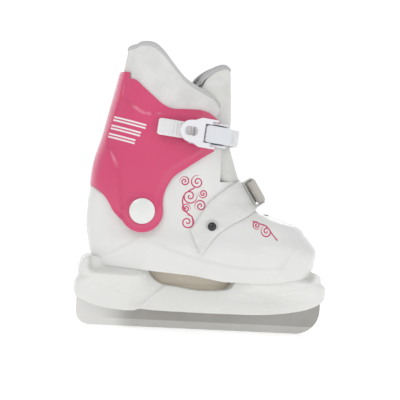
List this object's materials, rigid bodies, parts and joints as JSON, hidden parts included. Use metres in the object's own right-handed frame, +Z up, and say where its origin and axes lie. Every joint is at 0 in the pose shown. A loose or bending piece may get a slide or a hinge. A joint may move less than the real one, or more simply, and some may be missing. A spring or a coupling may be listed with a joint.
{
  "type": "ice skate",
  "caption": "Hard-shell ice skate with a hinged ankle cuff, padded liner, ratchet ankle strap, riveted instep strap and a steel runner in a moulded holder.",
  "frame": {"origin": "on the runner's flat bottom edge, in its middle plane, below the arch of the foot", "axes": "+X to the toe, +Y to the inner side of the foot, +Z up from the ice"},
  "size_m": [0.2515, 0.1094, 0.2795],
  "materials": {
    "runner_steel": "ground",
    "holder_plastic": "moulded",
    "hidden_steel": "plated",
    "shell_plastic": "glossy",
    "insole_board": "board",
    "liner_fabric": "smooth knit",
    "tongue_vinyl": "vinyl",
    "cap_plastic": "glossy",
    "strap_vinyl": "vinyl",
    "ring_steel": "plated",
    "webbing": "woven",
    "touch_fastener": "pile",
    "black_rivet": "glossy",
    "washer_grey": "satin",
    "cuff_plastic": "glossy",
    "binding": "woven tape",
    "buckle_plastic": "glossy",
    "button_plastic": "satin",
    "ladder_plastic": "satin",
    "spring_steel": "wire"
  },
  "bodies": {
    "boot": {"blade_runner": "runner_steel", "blade_holder": "holder_plastic", "blade_bolts": "hidden_steel", "barrel_nuts": "hidden_steel", "sole_screws": "hidden_steel", "boot_shell": "shell_plastic", "footbed": "insole_board", "liner_foot": "liner_fabric", "tongue_lower": "tongue_vinyl", "pivot_pins": "hidden_steel", "pivot_caps": "cap_plastic", "pivot_washers": "hidden_steel", "instep_strap": "strap_vinyl", "strap_ring": "ring_steel", "instep_webbing": "webbing", "loop_patch": "touch_fastener", "strap_rivets": "black_rivet", "strap_washers": "washer_grey"},
    "cuff": {"cuff_shell": "cuff_plastic", "liner_cuff": "liner_fabric", "liner_binding": "binding", "tongue_upper": "tongue_vinyl", "tongue_binding": "binding", "buckle_base": "buckle_plastic", "buckle_rivets": "hidden_steel", "lever_pin": "hidden_steel", "release_pin": "hidden_steel", "release_spring": "spring_steel", "ladder_strap": "ladder_plastic", "ladder_rivet": "cap_plastic", "ladder_washer": "washer_grey"},
    "buckle_lever": {"buckle_lever": "buckle_plastic"},
    "release_button": {"release_button": "button_plastic"},
    "webbing_tail": {"strap_tail": "webbing", "hook_patch": "touch_fastener"}
  },
  "joints": [
    {"name": "cuff_flex", "type": "hinge", "parent": "boot", "child": "cuff", "pos_m": [-0.07, 0, 0.1166], "axis": [0, 1, 0], "range_deg": [0, 10]},
    {"name": "lever_open", "type": "hinge", "parent": "cuff", "child": "buckle_lever", "pos_m": [-0.00844, -0.0481, 0.19427], "axis": [0.0906, 0, 0.9959], "range_deg": [0, 75]},
    {"name": "release_press", "type": "hinge", "parent": "cuff", "child": "release_button", "pos_m": [0.00321, -0.04541, 0.19321], "axis": [0.0906, 0, 0.9959], "range_deg": [0, 8], "stiffness_Nm_per_rad": 0.15, "springref_deg": -5.73},
    {"name": "tail_peel", "type": "hinge", "parent": "boot", "child": "webbing_tail", "pos_m": [0.04811, -0.006, 0.14263], "axis": [0.5519, 0, -0.8339], "range_deg": [0, 75]}
  ]
}
